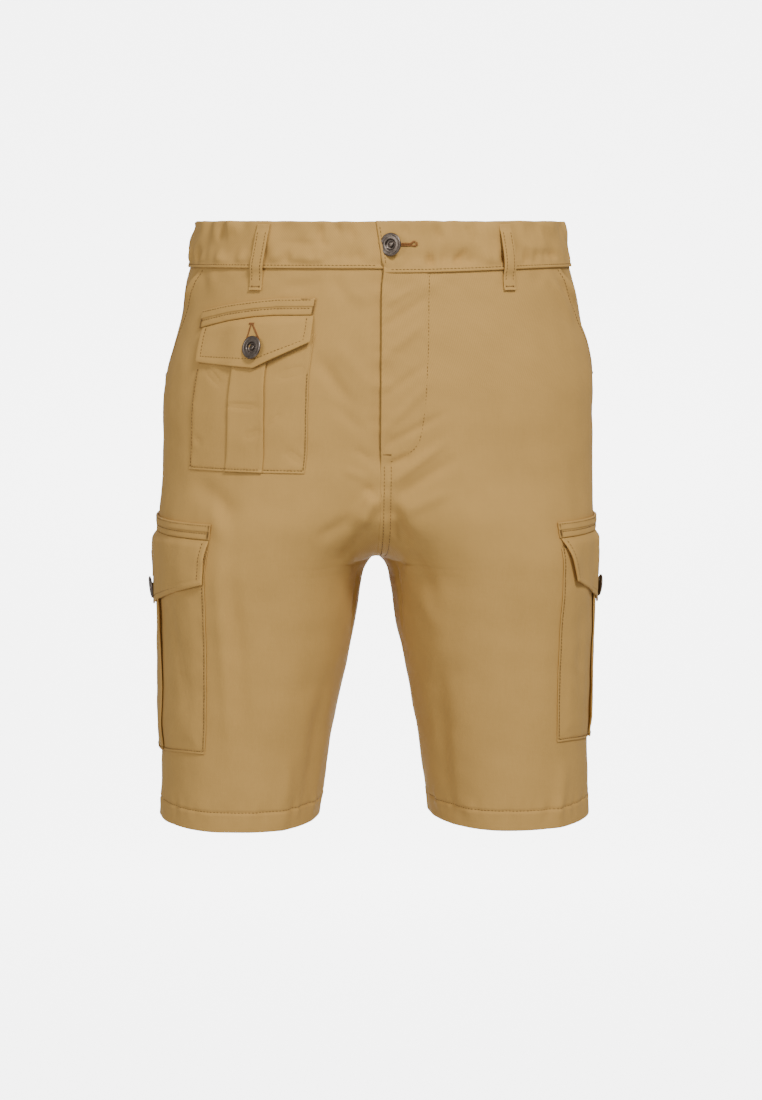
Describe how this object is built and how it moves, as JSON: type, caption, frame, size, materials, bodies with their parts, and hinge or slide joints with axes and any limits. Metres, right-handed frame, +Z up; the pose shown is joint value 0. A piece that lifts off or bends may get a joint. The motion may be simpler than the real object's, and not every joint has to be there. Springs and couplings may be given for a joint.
{
  "type": "cargo shorts",
  "caption": "Knee-length cargo shorts, filled out as worn: hollow twill legs, buttoned waistband, slanted pockets, a small buttoned patch pocket and bellows pockets on both legs.",
  "frame": {"origin": "middle of the waist opening, at the height of the waistband's top edge, where the wearer holds the shorts up", "axes": "+Z up, -Y to the front, +X to the wearer's left"},
  "size_m": [0.4044, 0.2692, 0.5202],
  "materials": {
    "twill": "khaki cotton-stretch twill, soft satin sheen",
    "thread": "tonal sewing thread",
    "buttonhole_thread": "reddish brown sewing thread",
    "button_metal": "aged dark metal, worn bright at the edges"
  },
  "bodies": {
    "root": {"front_left": "twill", "front_right": "twill", "back_left": "twill", "back_right": "twill", "pocket_facing_left": "twill", "pocket_facing_right": "twill", "waistband": "twill", "belt_loop_1": "twill", "belt_loop_2": "twill", "belt_loop_3": "twill", "belt_loop_4": "twill", "belt_loop_5": "twill", "waist_button": "button_metal", "utility_pocket": "twill", "utility_band": "twill", "utility_flap": "twill", "utility_button": "button_metal", "cargo_pocket_left": "twill", "cargo_pocket_right": "twill", "cargo_band_left": "twill", "cargo_band_right": "twill", "cargo_flap_left": "twill", "cargo_flap_right": "twill", "cargo_button_left": "button_metal", "cargo_button_right": "button_metal"}
  },
  "joints": []
}
